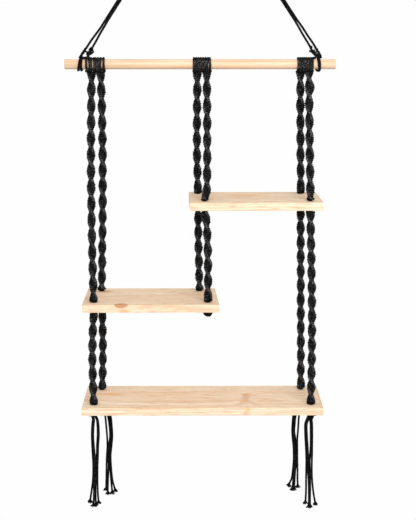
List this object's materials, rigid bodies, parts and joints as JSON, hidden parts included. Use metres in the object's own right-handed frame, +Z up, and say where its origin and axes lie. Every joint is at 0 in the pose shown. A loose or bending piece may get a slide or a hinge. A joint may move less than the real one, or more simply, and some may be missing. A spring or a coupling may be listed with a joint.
{
  "type": "hanging rope shelf",
  "caption": "Hanging shelf: staggered wooden boards on twisted ropes below a round dowel, hung from a cord loop, with cord tassels underneath.",
  "frame": {"origin": "where a hook bears inside the top of the hanging loop, on the shelf's middle line", "axes": "+Z up, +X to the right along the dowel, and the boards' front edges at -Y, towards the viewer"},
  "size_m": [0.541, 0.16, 1.3427],
  "materials": {
    "pine": "planed pale pine, thinly oiled, matt",
    "dowel_wood": "turned pale hardwood, thinly waxed",
    "cord": "black cotton cord, matt, laid and knotted"
  },
  "bodies": {
    "hanger": {"hanging_loop": "cord"},
    "hanging_knot": {"hanging_knot": "cord"},
    "suspension": {"left_outer_suspension_cord": "cord", "left_inner_suspension_cord": "cord", "right_outer_suspension_cord": "cord", "right_inner_suspension_cord": "cord", "left_dowel_wrap": "cord", "right_dowel_wrap": "cord", "left_dowel_knot": "cord", "right_dowel_knot": "cord"},
    "dowel": {"dowel": "dowel_wood", "left_front_hitch": "cord", "left_back_hitch": "cord", "centre_back_hitch": "cord", "centre_front_hitch": "cord", "right_back_hitch": "cord", "right_front_hitch": "cord"},
    "left_upper_ropes": {"left_front_upper_rope": "cord"},
    "left_upper_lift": {"left_back_upper_rope": "cord"},
    "middle_board": {"middle_board": "pine", "middle_board_left_front_knot": "cord", "middle_board_left_back_knot": "cord", "middle_board_right_front_knot": "cord", "middle_board_right_back_knot": "cord"},
    "left_lower_ropes": {"left_front_lower_rope": "cord"},
    "left_lower_lift": {"left_back_lower_rope": "cord"},
    "bottom_board": {"bottom_board": "pine", "bottom_board_left_front_knot": "cord", "bottom_board_left_back_knot": "cord", "bottom_board_right_front_knot": "cord", "bottom_board_right_back_knot": "cord"},
    "centre_upper_ropes": {"centre_front_upper_rope": "cord"},
    "centre_upper_lift": {"centre_back_upper_rope": "cord"},
    "top_board": {"top_board": "pine", "top_board_left_front_knot": "cord", "top_board_left_back_knot": "cord", "top_board_right_front_knot": "cord", "top_board_right_back_knot": "cord"},
    "centre_lower_ropes": {"centre_front_lower_rope": "cord", "centre_back_lower_rope": "cord"},
    "right_upper_ropes": {"right_front_upper_rope": "cord", "right_back_upper_rope": "cord"},
    "right_lower_ropes": {"right_front_lower_rope": "cord", "right_back_lower_rope": "cord"},
    "left_front_tassel": {"left_front_tassel_strand_1": "cord", "left_front_tassel_strand_2": "cord", "left_front_tassel_strand_3": "cord", "left_front_tassel_strand_4": "cord"},
    "left_back_tassel": {"left_back_tassel_strand_1": "cord", "left_back_tassel_strand_2": "cord", "left_back_tassel_strand_3": "cord", "left_back_tassel_strand_4": "cord"},
    "right_front_tassel": {"right_front_tassel_strand_1": "cord", "right_front_tassel_strand_2": "cord", "right_front_tassel_strand_3": "cord", "right_front_tassel_strand_4": "cord"},
    "right_back_tassel": {"right_back_tassel_strand_1": "cord", "right_back_tassel_strand_2": "cord", "right_back_tassel_strand_3": "cord", "right_back_tassel_strand_4": "cord"}
  },
  "joints": [
    {"name": "sideways_swing", "type": "hinge", "parent": "hanger", "child": "hanging_knot", "pos_m": [0, 0, -0.048], "axis": [0, 1, 0], "range_deg": [-20, 20]},
    {"name": "fore_aft_swing", "type": "hinge", "parent": "hanging_knot", "child": "suspension", "pos_m": [0, 0, -0.048], "axis": [1, 0, 0], "range_deg": [-20, 20]},
    {"name": "dowel_roll", "type": "hinge", "parent": "suspension", "child": "dowel", "pos_m": [0, 0, -0.4165], "axis": [1, 0, 0], "range_deg": [-20, 20]},
    {"name": "left_sway", "type": "hinge", "parent": "dowel", "child": "left_upper_ropes", "pos_m": [-0.213, 0, -0.4314], "axis": [0, 1, 0], "range_deg": [-10, 10]},
    {"name": "collapse", "type": "slide", "parent": "left_upper_ropes", "child": "left_upper_lift", "axis": [0, 0, 1], "range_m": [0, 0.327], "deforming": ["left_front_upper_rope", "left_back_upper_rope", "centre_front_upper_rope", "centre_back_upper_rope", "right_front_upper_rope", "right_back_upper_rope", "left_front_lower_rope", "left_back_lower_rope", "centre_front_lower_rope", "centre_back_lower_rope", "right_front_lower_rope", "right_back_lower_rope"]},
    {"name": "middle_board_level", "type": "hinge", "parent": "left_upper_lift", "child": "middle_board", "pos_m": [-0.213, 0, -0.899], "axis": [0, 1, 0], "range_deg": [-10, 10]},
    {"name": "left_lower_sway", "type": "hinge", "parent": "middle_board", "child": "left_lower_ropes", "pos_m": [-0.213, 0, -0.899], "axis": [0, 1, 0], "range_deg": [-10, 10]},
    {"name": "left_lower_collapse", "type": "slide", "parent": "left_lower_ropes", "child": "left_lower_lift", "axis": [0, 0, 1], "range_m": [0, 0.1508]},
    {"name": "bottom_board_level", "type": "hinge", "parent": "left_lower_lift", "child": "bottom_board", "pos_m": [-0.213, 0, -1.1145], "axis": [0, 1, 0], "range_deg": [-10, 10]},
    {"name": "centre_sway", "type": "hinge", "parent": "dowel", "child": "centre_upper_ropes", "pos_m": [0.005, 0, -0.4314], "axis": [0, 1, 0], "range_deg": [-10, 10]},
    {"name": "centre_upper_collapse", "type": "slide", "parent": "centre_upper_ropes", "child": "centre_upper_lift", "axis": [0, 0, 1], "range_m": [0, 0.1827]},
    {"name": "top_board_level", "type": "hinge", "parent": "centre_upper_lift", "child": "top_board", "pos_m": [0.005, 0, -0.6925], "axis": [0, 1, 0], "range_deg": [-10, 10]},
    {"name": "centre_lower_sway", "type": "hinge", "parent": "top_board", "child": "centre_lower_ropes", "pos_m": [0.005, 0, -0.6925], "axis": [0, 1, 0], "range_deg": [-10, 10]},
    {"name": "right_sway", "type": "hinge", "parent": "dowel", "child": "right_upper_ropes", "pos_m": [0.217, 0, -0.4314], "axis": [0, 1, 0], "range_deg": [-10, 10]},
    {"name": "right_lower_sway", "type": "hinge", "parent": "top_board", "child": "right_lower_ropes", "pos_m": [0.217, 0, -0.6925], "axis": [0, 1, 0], "range_deg": [-10, 10]},
    {"name": "left_front_tassel_swing", "type": "hinge", "parent": "bottom_board", "child": "left_front_tassel", "pos_m": [-0.219, -0.055, -1.1225], "axis": [0, 1, 0], "range_deg": [-15, 15]},
    {"name": "left_back_tassel_swing", "type": "hinge", "parent": "bottom_board", "child": "left_back_tassel", "pos_m": [-0.21, 0.055, -1.1225], "axis": [0, 1, 0], "range_deg": [-15, 15]},
    {"name": "right_front_tassel_swing", "type": "hinge", "parent": "bottom_board", "child": "right_front_tassel", "pos_m": [0.227, -0.055, -1.1225], "axis": [0, 1, 0], "range_deg": [-15, 15]},
    {"name": "right_back_tassel_swing", "type": "hinge", "parent": "bottom_board", "child": "right_back_tassel", "pos_m": [0.215, 0.055, -1.1225], "axis": [0, 1, 0], "range_deg": [-15, 15]}
  ],
  "couplings": [
    {"joint": "middle_board_level", "follows": "left_sway", "ratio": -1},
    {"joint": "left_lower_sway", "follows": "left_sway", "ratio": 1},
    {"joint": "bottom_board_level", "follows": "left_sway", "ratio": -1},
    {"joint": "centre_sway", "follows": "left_sway", "ratio": 1},
    {"joint": "top_board_level", "follows": "left_sway", "ratio": -1},
    {"joint": "centre_lower_sway", "follows": "left_sway", "ratio": 1},
    {"joint": "right_sway", "follows": "left_sway", "ratio": 1},
    {"joint": "right_lower_sway", "follows": "left_sway", "ratio": 1},
    {"joint": "left_lower_collapse", "follows": "collapse", "ratio": 0.4609},
    {"joint": "centre_upper_collapse", "follows": "collapse", "ratio": 0.5584}
  ]
}
